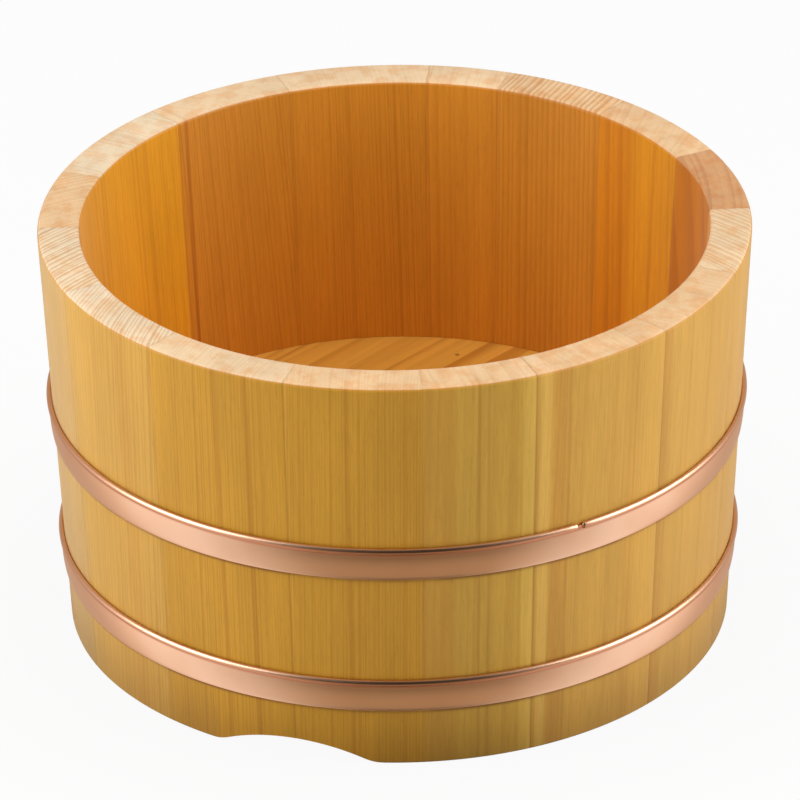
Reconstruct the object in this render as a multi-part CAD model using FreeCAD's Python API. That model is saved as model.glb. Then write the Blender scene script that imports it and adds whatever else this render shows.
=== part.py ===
"""Coopered wooden tub: tapered staves, two beaded copper hoops and an inset base.

The tub stands on z = 0 with its centre line on Z. Sizes are in millimetres and degrees.
A bearing is an angle about Z, measured from the front (-Y) towards the right (+X).
"""
import FreeCAD, Part
import math
import os

from FreeCAD import Vector

# The staved wall
HEIGHT = 136.0              # foot to rim
RIM_RADIUS = 112.5          # outside of the wall at the rim
FOOT_RADIUS = 105.3         # outside of the wall at the foot
WALL = 13.4                 # stave thickness, the same from foot to rim
RIM_EASE = 1.3              # how far the rim's two edges are planed off
FOOT_EASE = 0.8             # how far the foot's outer edge is planed off
FIRST_JOINT = 93.0          # bearing at which the first stave begins
# How wide each stave is, in order round the tub. Its share of their sum is its share of the circle.
STAVE_WIDTHS = (43, 45, 43, 27, 51, 48, 51, 40, 45, 46, 48, 43, 36, 49, 44, 45)

# The arches sawn through the foot, which leave the tub on three feet
ARCH_COUNT = 3
ARCH_BEARING = -18.5        # middle of the front arch
ARCH_WIDTH = 61.0
ARCH_HEIGHT = 6.8
ARCH_FLARE = 20.0           # radius of the curve that leads into each end of an arch

# The base and the groove that holds it
FLOOR_HEIGHT = 45.0         # top of the base above the foot
BASE_THICKNESS = 16.0
TONGUE = 9.0                # thickness of the base's edge where it sits in the groove
TONGUE_BEVEL = 5.0          # how far in the underside is bevelled off to make the tongue
GROOVE_DEPTH = 4.0
GROOVE_CLEARANCE = 0.1      # between the tongue and each side of its groove
BOARD_BEARING = 41.0        # direction in which the boards run
MIDDLE_BOARD_WIDTH = 56.0
MIDDLE_BOARD_OFFSET = 6.0   # of the middle board's centre line, towards its right

# The hoops: a copper strip with a bead rolled along its upper edge
UPPER_HOOP_HEIGHT = 68.0    # lower edge of the hoop above the foot
LOWER_HOOP_HEIGHT = 20.0
HOOP_WIDTH = 11.2
STRIP_THICKNESS = 0.8
STRIP_CROWN = 0.35          # how far the middle of the strip's face stands out from its edges
BEAD_HEIGHT = 2.2
BEAD_REACH = 1.0            # how far the bead stands out past the strip's edge
BEAD_FLATS = 4              # flats by which the bead is rolled over, an even number
HOOP_CLEARANCE = 0.05       # between the hoop and the wood
SEAM_GAP = 1.4              # between the two ends of the bead
SEAM_STEP = 0.3             # height of the gap's floor above the crease under the bead
UPPER_SEAM_BEARING = 30.5
LOWER_SEAM_BEARING = 205.0

# Bamboo pegs, whittled to an even number of flats
PEG_FLATS = 6
PEG_CLEARANCE = 0.1         # between a peg and its hole, all round and at each end
STAVE_PEG_DIAMETER = 3.0
STAVE_PEG_LENGTH = 18.0
STAVE_PEG_MARGIN = 22.0     # of the lower peg above the floor and of the upper peg below the rim
BASE_PEG_DIAMETER = 4.0
BASE_PEG_LENGTH = 30.0
BASE_PEG_SPACING = 90.0     # between the two pegs of one board joint

# How far a cutting tool runs past the piece that it cuts
OVERRUN = 5.0

AXIS = Vector(0, 0, 1)
ORIGIN = Vector(0, 0, 0)
FULL_TURN = 360.0


def outer_radius(z):
    """Radius of the wall's outside at the height z."""
    return FOOT_RADIUS + (RIM_RADIUS - FOOT_RADIUS) * z / HEIGHT


def inner_radius(z):
    """Radius of the wall's inside at the height z."""
    return outer_radius(z) - WALL


def middle_radius(z):
    """Radius of the middle of the wall at the height z."""
    return outer_radius(z) - WALL / 2


def on_profile(radius, z):
    """Point of an upright section, drawn in the plane of bearing zero."""
    return Vector(0, -radius, z)


def turned(shape, bearing):
    """Copy of a shape that was drawn at the front, turned to its bearing."""
    copy = shape.copy()
    copy.rotate(ORIGIN, AXIS, bearing)
    return copy


def eased_outline(corners):
    """Closed wire through (point, ease) corners, each planed off by its own ease."""
    points = []
    for index, (corner, ease) in enumerate(corners):
        if ease <= 0:
            points.append(corner)
            continue
        before = (corners[index - 1][0] - corner).normalize()
        after = (corners[(index + 1) % len(corners)][0] - corner).normalize()
        points.append(corner + before * ease)
        points.append(corner + after * ease)
    return Part.makePolygon(points + points[:1])


def revolved(outline, start, sweep):
    """Solid swept by an upright section from the bearing start through sweep degrees."""
    solid = Part.Face(outline).revolve(ORIGIN, AXIS, sweep)
    return turned(solid, start)


def groove_top():
    """Height of the groove's upper side."""
    return FLOOR_HEIGHT + GROOVE_CLEARANCE


def groove_bottom():
    """Height of the groove's lower side."""
    return FLOOR_HEIGHT - TONGUE - GROOVE_CLEARANCE


def groove_radius():
    """Radius of the groove's floor, which stands upright."""
    return inner_radius(FLOOR_HEIGHT) + GROOVE_DEPTH


def wall_outline():
    """Upright section of a stave: tapered, eased at rim and foot, grooved for the base."""
    high = groove_top()
    low = groove_bottom()
    deep = groove_radius()
    corners = [
        (on_profile(outer_radius(0), 0), FOOT_EASE),
        (on_profile(outer_radius(HEIGHT), HEIGHT), RIM_EASE),
        (on_profile(inner_radius(HEIGHT), HEIGHT), RIM_EASE),
        (on_profile(inner_radius(high), high), 0),
        (on_profile(deep, high), 0),
        (on_profile(deep, low), 0),
        (on_profile(inner_radius(low), low), 0),
        (on_profile(inner_radius(0), 0), 0),
    ]
    return eased_outline(corners)


def joint_bearings():
    """Bearing of each joint between staves, once round, beginning and ending at the first."""
    bearings = [FIRST_JOINT]
    for width in STAVE_WIDTHS:
        bearings.append(bearings[-1] + FULL_TURN * width / sum(STAVE_WIDTHS))
    return bearings


def arch_tool():
    """Solid that saws the front arch: a crown arc with a flare curving out at each end."""
    half = ARCH_WIDTH / 2
    arcs_sum = (half ** 2 + ARCH_HEIGHT ** 2) / (2 * ARCH_HEIGHT)
    crown = arcs_sum - ARCH_FLARE
    # The crown and a flare meet on the line between their centres.
    meet_x = half * crown / arcs_sum
    meet_z = ARCH_HEIGHT - crown + (arcs_sum - ARCH_HEIGHT) * crown / arcs_sum
    middle_x = half - ARCH_FLARE * math.sin(math.asin((half - meet_x) / ARCH_FLARE) / 2)
    middle_z = ARCH_FLARE - ARCH_FLARE * math.cos(math.asin((half - meet_x) / ARCH_FLARE) / 2)
    near = -outer_radius(0) - OVERRUN

    def at(x, z):
        return Vector(x, near, z)

    edges = [
        Part.Arc(at(-half, 0), at(-middle_x, middle_z), at(-meet_x, meet_z)).toShape(),
        Part.Arc(at(-meet_x, meet_z), at(0, ARCH_HEIGHT), at(meet_x, meet_z)).toShape(),
        Part.Arc(at(meet_x, meet_z), at(middle_x, middle_z), at(half, 0)).toShape(),
        Part.LineSegment(at(half, 0), at(half, -OVERRUN)).toShape(),
        Part.LineSegment(at(half, -OVERRUN), at(-half, -OVERRUN)).toShape(),
        Part.LineSegment(at(-half, -OVERRUN), at(-half, 0)).toShape(),
    ]
    length = outer_radius(0) - inner_radius(0) * math.cos(math.asin(half / inner_radius(0))) + 2 * OVERRUN
    return Part.Face(Part.Wire(edges)).extrude(Vector(0, length, 0))


def arch_tools():
    """The arches' cutting solids, evenly spaced round the foot."""
    tool = arch_tool()
    return [turned(tool, ARCH_BEARING + FULL_TURN * index / ARCH_COUNT) for index in range(ARCH_COUNT)]


def stave_peg_heights():
    """Heights of the pegs in a stave joint."""
    return (FLOOR_HEIGHT + STAVE_PEG_MARGIN, HEIGHT - STAVE_PEG_MARGIN)


def whittled_peg(diameter, length, clearance, middle):
    """Peg along X about its middle point, or its hole when it is given a clearance."""
    apothem = diameter / 2 + clearance
    corner_radius = apothem / math.cos(math.pi / PEG_FLATS)
    end = middle.x - length / 2 - clearance
    points = []
    for flat in range(PEG_FLATS + 1):
        angle = 2 * math.pi * (flat + 0.5) / PEG_FLATS
        across = corner_radius * math.cos(angle)
        up = corner_radius * math.sin(angle)
        points.append(Vector(end, middle.y + across, middle.z + up))
    return Part.Face(Part.makePolygon(points)).extrude(Vector(length + 2 * clearance, 0, 0))


def stave_peg(bearing, z, clearance):
    """Peg across the stave joint at a bearing, or its hole when it is given a clearance."""
    middle = Vector(0, -middle_radius(z), z)
    return turned(whittled_peg(STAVE_PEG_DIAMETER, STAVE_PEG_LENGTH, clearance, middle), bearing)


def make_staves():
    """One solid for each stave, in order round the tub."""
    bearings = joint_bearings()
    outline = wall_outline()
    arches = arch_tools()
    staves = []
    for start, end in zip(bearings[:-1], bearings[1:]):
        stave = revolved(outline, start, end - start)
        holes = [stave_peg(edge, z, PEG_CLEARANCE) for edge in (start, end) for z in stave_peg_heights()]
        staves.append(stave.cut(arches + holes))
    return staves


def make_stave_pegs():
    """The pegs across all stave joints, as a group of separate solids."""
    joints = joint_bearings()[:-1]
    return Part.makeCompound([stave_peg(edge, z, 0) for edge in joints for z in stave_peg_heights()])


def base_disc():
    """The whole base before it is sawn into boards, with its underside bevelled to a tongue."""
    edge = groove_radius() - GROOVE_CLEARANCE
    tongue_bottom = FLOOR_HEIGHT - TONGUE
    underside = FLOOR_HEIGHT - BASE_THICKNESS
    bevel_edge = inner_radius(underside) - TONGUE_BEVEL
    shoulder = inner_radius(tongue_bottom) - GROOVE_CLEARANCE
    points = [
        on_profile(0, FLOOR_HEIGHT),
        on_profile(edge, FLOOR_HEIGHT),
        on_profile(edge, tongue_bottom),
        on_profile(shoulder, tongue_bottom),
        on_profile(bevel_edge, underside),
        on_profile(0, underside),
        on_profile(0, FLOOR_HEIGHT),
    ]
    return revolved(Part.makePolygon(points), 0, FULL_TURN)


def board_joints():
    """Distances of the two board joints from the centre, square to the boards' run."""
    half = MIDDLE_BOARD_WIDTH / 2
    return (MIDDLE_BOARD_OFFSET - half, MIDDLE_BOARD_OFFSET + half)


def base_peg(joint, along, clearance):
    """Peg across a board joint, or its hole when it is given a clearance."""
    middle = Vector(joint, along, FLOOR_HEIGHT - BASE_THICKNESS / 2)
    return turned(whittled_peg(BASE_PEG_DIAMETER, BASE_PEG_LENGTH, clearance, middle), -BOARD_BEARING)


def base_peg_places():
    """Joint and distance along it for each peg of the base."""
    half = BASE_PEG_SPACING / 2
    return [(joint, along) for joint in board_joints() for along in (-half, half)]


def make_boards():
    """The base's three boards: left, middle and right of the boards' run."""
    disc = base_disc()
    reach = groove_radius() + OVERRUN
    first, second = board_joints()
    holes = [base_peg(joint, along, PEG_CLEARANCE) for joint, along in base_peg_places()]
    boards = []
    for low, high in ((-reach, first), (first, second), (second, reach)):
        blank = Part.makeBox(high - low, 2 * reach, FLOOR_HEIGHT, Vector(low, -reach, 0))
        boards.append(disc.common(turned(blank, -BOARD_BEARING)).cut(holes))
    return boards


def make_base_pegs():
    """The pegs of the board joints, as a group of separate solids."""
    return Part.makeCompound([base_peg(joint, along, 0) for joint, along in base_peg_places()])


def hoop_point(bottom, rise, stand_off):
    """Point of a hoop's section: a rise above its lower edge, a stand-off from the wood."""
    z = bottom + rise
    return on_profile(outer_radius(z) + HOOP_CLEARANCE + stand_off, z)


def bead_points(bottom):
    """Points over the bead of a hoop, from the crease under it to its top edge."""
    points = []
    for step in range(BEAD_FLATS + 1):
        angle = math.pi * step / BEAD_FLATS
        rise = HOOP_WIDTH - BEAD_HEIGHT * (1 + math.cos(angle)) / 2
        points.append(hoop_point(bottom, rise, STRIP_THICKNESS + BEAD_REACH * math.sin(angle)))
    return points


def hoop_outline(bottom):
    """Upright section of a hoop: a crowned strip under a rolled bead."""
    crease = HOOP_WIDTH - BEAD_HEIGHT
    inner_bottom = hoop_point(bottom, 0, 0)
    outer_bottom = hoop_point(bottom, 0, STRIP_THICKNESS)
    crown = hoop_point(bottom, crease / 2, STRIP_THICKNESS + STRIP_CROWN)
    inner_top = hoop_point(bottom, HOOP_WIDTH, 0)
    return Part.makePolygon([inner_bottom, outer_bottom, crown] + bead_points(bottom) + [inner_top, inner_bottom])


def make_hoop(bottom, seam_bearing):
    """One hoop, whole but for the gap between the ends of its bead."""
    ring = revolved(hoop_outline(bottom), 0, FULL_TURN)
    gap_floor = bottom + HOOP_WIDTH - BEAD_HEIGHT + SEAM_STEP
    gap_back = outer_radius(bottom + HOOP_WIDTH) + HOOP_CLEARANCE + STRIP_THICKNESS / 2
    reach = STRIP_THICKNESS + BEAD_REACH + OVERRUN
    corner = Vector(-SEAM_GAP / 2, -gap_back - reach, gap_floor)
    gap = Part.makeBox(SEAM_GAP, reach, BEAD_HEIGHT + OVERRUN, corner)
    return ring.cut(turned(gap, seam_bearing))


def save(name, shape):
    """Write one piece to its own file and report its size."""
    shape.exportStep(os.path.join("parts", name + ".step"))
    print(f"{name}: {len(shape.Solids)} solid(s), {shape.Volume / 1000:.2f} cm3, valid {shape.isValid()}")


def main():
    """Build and save every piece of the tub."""
    os.makedirs("parts", exist_ok=True)
    for number, stave in enumerate(make_staves(), start=1):
        save(f"stave_{number:02d}", stave)
    save("stave_pegs", make_stave_pegs())
    for side, board in zip(("left", "middle", "right"), make_boards()):
        save(f"base_board_{side}", board)
    save("base_pegs", make_base_pegs())
    save("upper_hoop", make_hoop(UPPER_HOOP_HEIGHT, UPPER_SEAM_BEARING))
    save("lower_hoop", make_hoop(LOWER_HOOP_HEIGHT, LOWER_SEAM_BEARING))


main()
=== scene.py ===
"""Looks of a coopered wooden tub: sixteen staves, an inset base, two beaded copper hoops and the photo stage.

Lengths are in metres and angles in degrees, unless a name says otherwise. A bearing is an angle about Z,
measured from the front (-Y) towards the right (+X). Colours are sRGB on the 0-255 scale. A band is where a
smooth step begins and where it is full.
"""

import logging
import math
from dataclasses import dataclass
from enum import Enum
from typing import Callable, Sequence

import bmesh
import bpy
from mathutils import Matrix, Vector


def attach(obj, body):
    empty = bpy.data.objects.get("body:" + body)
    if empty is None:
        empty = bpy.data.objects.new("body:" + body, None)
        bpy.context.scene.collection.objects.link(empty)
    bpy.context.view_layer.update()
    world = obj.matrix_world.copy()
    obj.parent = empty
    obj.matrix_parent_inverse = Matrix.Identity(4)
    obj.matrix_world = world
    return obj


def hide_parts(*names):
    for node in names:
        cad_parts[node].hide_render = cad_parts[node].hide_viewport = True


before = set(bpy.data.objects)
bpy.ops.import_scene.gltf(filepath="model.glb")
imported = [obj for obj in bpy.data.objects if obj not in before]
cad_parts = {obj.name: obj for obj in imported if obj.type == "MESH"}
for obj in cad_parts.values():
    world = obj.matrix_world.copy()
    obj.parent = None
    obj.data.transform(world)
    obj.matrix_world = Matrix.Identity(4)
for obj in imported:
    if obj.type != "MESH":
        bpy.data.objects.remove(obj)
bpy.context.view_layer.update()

LOG = logging.getLogger("tub")
BODY = "root"
FULL_TURN = 360.0
MERGE_DISTANCE = 5e-6
SMOOTH_ANGLE = 35.0
# Least cosine between a face's normal and the direction that it is said to face
FACING = 0.9
ORIGIN = Vector((0, 0, 0))
UP = Vector((0, 0, 1))
WHITE = (1.0, 1.0, 1.0, 1.0)

Piece = bpy.types.Object
Material = bpy.types.Material
Tree = bpy.types.NodeTree
Node = bpy.types.Node
Socket = bpy.types.NodeSocket
Colour = tuple[float, float, float]
Value = float | Sequence[float] | Socket


# Modelling by hand, as small steps


def only(piece: Piece) -> None:
    """Select one piece alone and make it active.

    Args:
        piece: The piece.
    """
    bpy.ops.object.select_all(action="DESELECT")
    piece.select_set(True)
    bpy.context.view_layer.objects.active = piece


def settle(piece: Piece) -> None:
    """Move a piece's place, turn and scale into its mesh."""
    only(piece)
    bpy.ops.object.transform_apply(location=True, rotation=True, scale=True)


def add_primitive(name: str, operator: Callable[..., set[str]], **settings: object) -> Piece:
    """Add a primitive and name it.

    Args:
        name: Name of the piece.
        operator: The operator that adds it.
        settings: The operator's own settings.

    Returns:
        The piece, not yet settled.
    """
    bpy.ops.object.select_all(action="DESELECT")
    operator(**settings)
    piece = bpy.context.object
    piece.name = name
    piece.data.name = name
    return piece


def add_plate(name: str, centre: Vector, height: float, depth: float) -> Piece:
    """Add an upright plate in the plane X = 0.

    Args:
        name: Name of the piece.
        centre: Middle of the plate.
        height: Its size along Z.
        depth: Its size along Y.

    Returns:
        The plate, settled.
    """
    upright = (0, math.pi / 2, 0)
    plate = add_primitive(name, bpy.ops.mesh.primitive_plane_add, size=1, location=centre, rotation=upright)
    plate.scale = (height, depth, 1)
    settle(plate)
    return plate


def copy_of(piece: Piece, name: str, bearing: float = 0.0) -> Piece:
    """Copy a piece with its own mesh.

    Args:
        piece: What is copied.
        name: Name of the copy.
        bearing: How far round the tub's axis the copy is turned.

    Returns:
        The copy, settled.
    """
    copy = piece.copy()
    copy.data = piece.data.copy()
    copy.name = name
    copy.data.name = name
    bpy.context.collection.objects.link(copy)
    copy.rotation_euler.z = math.radians(bearing)
    settle(copy)
    return copy


def discard(piece: Piece) -> None:
    """Remove a helper piece."""
    bpy.data.meshes.remove(piece.data)


def combine(piece: Piece, other: Piece, operation: str) -> None:
    """Cut a piece by another or join the two into one solid, and remove the other.

    Args:
        piece: The piece that stays.
        other: The tool or the added part.
        operation: DIFFERENCE or UNION.
    """
    only(piece)
    modifier = piece.modifiers.new(operation.lower(), "BOOLEAN")
    modifier.operation = operation
    modifier.solver = "EXACT"
    modifier.object = other
    bpy.ops.object.modifier_apply(modifier=modifier.name)
    discard(other)


def smooth(piece: Piece, angle: float) -> None:
    """Shade a piece smooth wherever its faces meet at less than an angle."""
    only(piece)
    bpy.ops.object.shade_smooth_by_angle(angle=math.radians(angle))


class Shaper:
    """Edit mode on one piece, as a context, with selection by place."""

    def __init__(self, piece: Piece) -> None:
        """Keep the piece that is shaped."""
        self.piece = piece

    def __enter__(self) -> "Shaper":
        """Enter edit mode."""
        only(self.piece)
        bpy.ops.object.mode_set(mode="EDIT")
        return self

    def __exit__(self, *_: object) -> None:
        """Leave edit mode."""
        bpy.ops.object.mode_set(mode="OBJECT")

    def everything(self) -> None:
        """Select the whole piece."""
        bpy.ops.mesh.select_all(action="SELECT")

    def points(self, wanted: Callable[[Vector], bool]) -> None:
        """Select vertices, with what lies between them.

        Args:
            wanted: Whether a vertex at a place is selected.
        """
        bpy.ops.mesh.select_mode(type="VERT")
        mesh = bmesh.from_edit_mesh(self.piece.data)
        for vertex in mesh.verts:
            vertex.select = wanted(vertex.co)
        mesh.select_flush_mode()
        bmesh.update_edit_mesh(self.piece.data)

    def edges(self, wanted: Callable[[Vector, Vector], bool]) -> None:
        """Select edges.

        Args:
            wanted: Whether an edge with its two ends is selected.
        """
        bpy.ops.mesh.select_mode(type="EDGE")
        bpy.ops.mesh.select_all(action="DESELECT")
        mesh = bmesh.from_edit_mesh(self.piece.data)
        for edge in mesh.edges:
            edge.select_set(wanted(edge.verts[0].co, edge.verts[1].co))
        bmesh.update_edit_mesh(self.piece.data)

    def faces(self, wanted: Callable[[Vector, Vector], bool]) -> None:
        """Select faces.

        Args:
            wanted: Whether a face with its middle and normal is selected.
        """
        bpy.ops.mesh.select_mode(type="FACE")
        bpy.ops.mesh.select_all(action="DESELECT")
        mesh = bmesh.from_edit_mesh(self.piece.data)
        for face in mesh.faces:
            face.select_set(wanted(face.calc_center_median(), face.normal))
        bmesh.update_edit_mesh(self.piece.data)

    def split_level(self, z: float) -> None:
        """Cut new edges all round at a height."""
        self.everything()
        bpy.ops.mesh.bisect(plane_co=(0, 0, z), plane_no=(0, 0, 1))

    def shift(self, move: Sequence[float]) -> None:
        """Move what is selected."""
        bpy.ops.transform.translate(value=move)

    def extrude(self, move: Sequence[float]) -> None:
        """Extrude what is selected."""
        bpy.ops.mesh.extrude_region_move(TRANSFORM_OT_translate={"value": move})

    def bevel(self, offset: float, segments: int, affect: str) -> None:
        """Bevel what is selected.

        Args:
            offset: Width of the bevel.
            segments: Number of flats across it.
            affect: EDGES or VERTICES.
        """
        bpy.ops.mesh.bevel(offset=offset, segments=segments, affect=affect)

    def close(self) -> None:
        """Merge doubled points and turn every face outwards."""
        self.everything()
        bpy.ops.mesh.remove_doubles(threshold=MERGE_DISTANCE)
        bpy.ops.mesh.normals_make_consistent(inside=False)

    def spin_on(self, sweep: float, step: float, centre: Vector, axis: Vector) -> None:
        """Spin what is selected.

        Args:
            sweep: Angle of the spin, positive towards growing bearings for an axis of +Z.
            step: Largest angle between two rings.
            centre: A point of the axis.
            axis: Its direction.
        """
        steps = max(2, math.ceil(abs(sweep) / step))
        bpy.ops.mesh.spin(steps=steps, angle=-math.radians(sweep), center=centre, axis=axis)


def bearing_of(point: Vector) -> float:
    """Bearing of a point, from -180 to 180."""
    return math.degrees(math.atan2(point.x, -point.y))


def apart(first: float, second: float) -> float:
    """Smallest angle between two bearings."""
    return abs((first - second + FULL_TURN / 2) % FULL_TURN - FULL_TURN / 2)


def present(piece: Piece, finish: Material, slot: str, *nodes: str) -> None:
    """Dress a finished piece and tell the frame what it is.

    Args:
        piece: The piece to show.
        finish: Its material.
        slot: The record's slot that the finish belongs to; not used.
        nodes: The solids of the frame that the piece stands for.
    """
    piece.data.materials.clear()
    piece.data.materials.append(finish)
    if nodes:
        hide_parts(*nodes)
        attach(piece, BODY)
    LOG.info("%s: %d faces", piece.name, len(piece.data.polygons))


# Shader nodes

NOISE_BAND = (0.25, 0.75)


def linear(colour: Colour) -> tuple[float, float, float, float]:
    """Turn a colour into the linear one that sockets take.

    Args:
        colour: The colour in sRGB.

    Returns:
        The same colour in linear light, opaque.
    """

    def channel(value: float) -> float:
        """Undo the sRGB curve of one channel."""
        value /= 255
        return value / 12.92 if value <= 0.04045 else ((value + 0.055) / 1.055) ** 2.4

    return (channel(colour[0]), channel(colour[1]), channel(colour[2]), 1.0)


class Graph:
    """Adds nodes to one node tree, with their inputs filled or linked."""

    def __init__(self, tree: Tree) -> None:
        """Keep the tree that nodes are added to."""
        self.tree = tree

    def fill(self, socket: Socket, value: Value) -> None:
        """Link an input to another node's output, or set its own value.

        Args:
            socket: The input.
            value: An output or a plain value.
        """
        if isinstance(value, Socket):
            self.tree.links.new(value, socket)
        else:
            socket.default_value = value

    def add(self, kind: str, inputs: dict | None = None, **settings: object) -> Node:
        """Add a node.

        Args:
            kind: Its type, without the ShaderNode in front.
            inputs: Value or link for each input, by name or number.
            settings: The node's own properties.

        Returns:
            The node.
        """
        node = self.tree.nodes.new("ShaderNode" + kind)
        for name, value in settings.items():
            setattr(node, name, value)
        for name, value in (inputs or {}).items():
            self.fill(node.inputs[name], value)
        return node

    def math(self, operation: str, *values: Value) -> Socket:
        """Output of a Math node."""
        return self.add("Math", dict(enumerate(values)), operation=operation).outputs[0]

    def vector(self, operation: str, *values: Value) -> Socket:
        """Vector output of a Vector Math node."""
        return self.add("VectorMath", dict(enumerate(values)), operation=operation).outputs["Vector"]

    def measure(self, operation: str, *values: Value) -> Socket:
        """Number output of a Vector Math node."""
        return self.add("VectorMath", dict(enumerate(values)), operation=operation).outputs["Value"]

    def scaled(self, vector: Value, factor: Value) -> Socket:
        """A vector times a number."""
        return self.add("VectorMath", {0: vector, "Scale": factor}, operation="SCALE").outputs["Vector"]

    def stretched(self, vector: Value, z: float) -> Socket:
        """A place whose height is multiplied, so that noise runs long where the factor is small."""
        return self.vector("MULTIPLY", vector, (1.0, 1.0, z))

    def parts(self, vector: Value) -> Sequence[Socket]:
        """X, Y and Z of a vector."""
        return self.add("SeparateXYZ", {0: vector}).outputs

    def bearing(self, vector: Value) -> Socket:
        """Bearing of a place, in radians."""
        place = self.parts(vector)
        return self.math("ARCTAN2", place[0], self.math("MULTIPLY", place[1], -1.0))

    def to_camera(self) -> Socket:
        """1 for rays that show the camera what it sees, and 0 for the others."""
        path = self.add("LightPath").outputs
        return self.math("MAXIMUM", path["Is Camera Ray"], path["Is Transmission Ray"])

    def ramp(self, value: Value, low: float, high: float, first: Value = 0.0, last: Value = 1.0) -> Socket:
        """Step smoothly from one value to another.

        Args:
            value: What the step follows.
            low: Where it begins.
            high: Where it ends.
            first: Result up to low.
            last: Result from high on.

        Returns:
            The result.
        """
        inputs = {"Value": value, "From Min": low, "From Max": high, "To Min": first, "To Max": last}
        return self.add("MapRange", inputs, interpolation_type="SMOOTHSTEP").outputs[0]

    def blend(self, factor: Value, first: Value, second: Value, mode: str = "MIX") -> Socket:
        """Mix two colours.

        Args:
            factor: 0 for the first, 1 for the second.
            first: Colour below.
            second: Colour above.
            mode: How the second is laid on.

        Returns:
            The mixed colour.
        """
        node = self.add("Mix", data_type="RGBA", blend_type=mode)
        for socket, value in ((node.inputs[0], factor), (node.inputs[6], first), (node.inputs[7], second)):
            self.fill(socket, value)
        return node.outputs[2]

    def noise(self, vector: Value, scale: float, detail: float, seed: Value = 0.0) -> Node:
        """Add a Noise Texture in four dimensions.

        Args:
            vector: Place of the noise.
            scale: Its cells to a metre.
            detail: Its finer layers.
            seed: The fourth dimension.

        Returns:
            The node.
        """
        inputs = {"Vector": vector, "W": seed, "Scale": scale, "Detail": detail}
        return self.add("TexNoise", inputs, noise_dimensions="4D")

    def group(self, tree: Tree, inputs: dict) -> Node:
        """Place a node group.

        Args:
            tree: The group.
            inputs: Value or link for each input, by name.

        Returns:
            The node.
        """
        node = self.add("Group")
        node.node_tree = tree
        for name, value in inputs.items():
            self.fill(node.inputs[name], value)
        return node


def start_group(name: str, inputs: dict[str, str], outputs: dict[str, str]) -> tuple[Graph, dict, Node]:
    """Start a shader node group.

    Args:
        name: Name of the group.
        inputs: Type of each input, by name.
        outputs: Type of each output, by name.

    Returns:
        Its graph, its inputs as sockets by name, and its output node.
    """
    tree = bpy.data.node_groups.new(name, "ShaderNodeTree")
    for label, kind in inputs.items():
        tree.interface.new_socket(label, in_out="INPUT", socket_type="NodeSocket" + kind)
    for label, kind in outputs.items():
        tree.interface.new_socket(label, in_out="OUTPUT", socket_type="NodeSocket" + kind)
    entry = tree.nodes.new("NodeGroupInput")
    return Graph(tree), {label: entry.outputs[label] for label in inputs}, tree.nodes.new("NodeGroupOutput")


def start_material(name: str) -> tuple[Material, Graph]:
    """Start a material without nodes.

    Args:
        name: Name of the material.

    Returns:
        The material and its graph.
    """
    material = bpy.data.materials.new(name)
    material.use_nodes = True
    material.node_tree.nodes.clear()
    return material, Graph(material.node_tree)


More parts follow.
